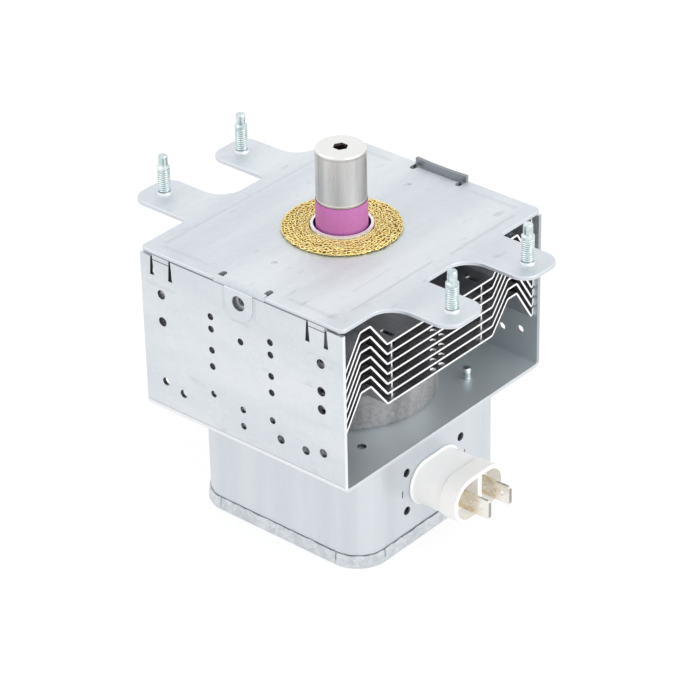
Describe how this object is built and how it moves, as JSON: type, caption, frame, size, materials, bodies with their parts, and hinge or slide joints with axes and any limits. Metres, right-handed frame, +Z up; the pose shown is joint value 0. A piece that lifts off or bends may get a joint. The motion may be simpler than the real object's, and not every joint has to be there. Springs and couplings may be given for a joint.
{
  "type": "magnetron",
  "caption": "Air-cooled microwave-oven magnetron: capped antenna and gasket on an eared plate, folded fins in a perforated yoke, filter box with a two-blade socket.",
  "frame": {"origin": "the antenna's axis at the upper face of the top plate", "axes": "+Z up along the antenna; +X along the cooling air, towards the open side with the socket; +Y towards the far closed wall"},
  "size_m": [0.1226, 0.0906, 0.1171],
  "materials": {
    "box_steel": "galvanised sheet, satin",
    "cap_steel": "drawn steel, satin",
    "choke_ferrite": "matt ferrite",
    "choke_wire": "enamelled copper",
    "copper": "bare copper, dull",
    "ferrite": "ground ferrite, matt",
    "fin_aluminium": "rolled, satin",
    "gasket_mesh": "woven wire",
    "molybdenum": "bright rod",
    "pink_ceramic": "matt alumina, pink",
    "pole_iron": "nickel-plated iron",
    "sleeve_steel": "plated steel",
    "socket_plastic": "moulded, satin",
    "stud_zinc": "bright zinc",
    "terminal_tin": "tinned brass",
    "tungsten": "carburised wire",
    "white_ceramic": "matt alumina",
    "yoke_steel": "galvanised sheet, satin"
  },
  "bodies": {
    "root": {"anode_cylinder": "copper", "anode_vane_01": "copper", "anode_vane_02": "copper", "anode_vane_03": "copper", "anode_vane_04": "copper", "anode_vane_05": "copper", "anode_vane_06": "copper", "anode_vane_07": "copper", "anode_vane_08": "copper", "anode_vane_09": "copper", "anode_vane_10": "copper", "antenna_cap": "cap_steel", "antenna_insulator": "pink_ceramic", "antenna_lead": "copper", "antenna_seal": "sleeve_steel", "bottom_end_hat": "molybdenum", "capacitor_body": "socket_plastic", "capacitor_ceramic": "white_ceramic", "capacitor_cover": "socket_plastic", "capacitor_plate": "box_steel", "case_screws": "stud_zinc", "centre_support_rod": "molybdenum", "choke_coil_1": "choke_wire", "choke_coil_2": "choke_wire", "choke_core_1": "choke_ferrite", "choke_core_2": "choke_ferrite", "cooling_fin_1": "fin_aluminium", "cooling_fin_2": "fin_aluminium", "cooling_fin_3": "fin_aluminium", "cooling_fin_4": "fin_aluminium", "cooling_fin_5": "fin_aluminium", "cooling_fin_6": "fin_aluminium", "cooling_fin_7": "fin_aluminium", "exhaust_tube": "copper", "filament": "tungsten", "filter_box": "box_steel", "filter_box_lid": "box_steel", "lower_inner_strap": "copper", "lower_magnet": "ferrite", "lower_outer_strap": "copper", "lower_pole_piece": "pole_iron", "lower_seal_cup": "sleeve_steel", "mounting_studs": "stud_zinc", "rf_gasket": "gasket_mesh", "side_support_rod": "molybdenum", "stem_insulator": "white_ceramic", "stem_terminal_1": "terminal_tin", "stem_terminal_2": "terminal_tin", "terminal_tab_1": "terminal_tin", "terminal_tab_2": "terminal_tin", "top_end_hat": "molybdenum", "top_yoke_plate": "yoke_steel", "upper_inner_strap": "copper", "upper_magnet": "ferrite", "upper_outer_strap": "copper", "upper_pole_piece": "pole_iron", "upper_seal_cup": "sleeve_steel", "yoke_frame": "yoke_steel"}
  },
  "joints": []
}
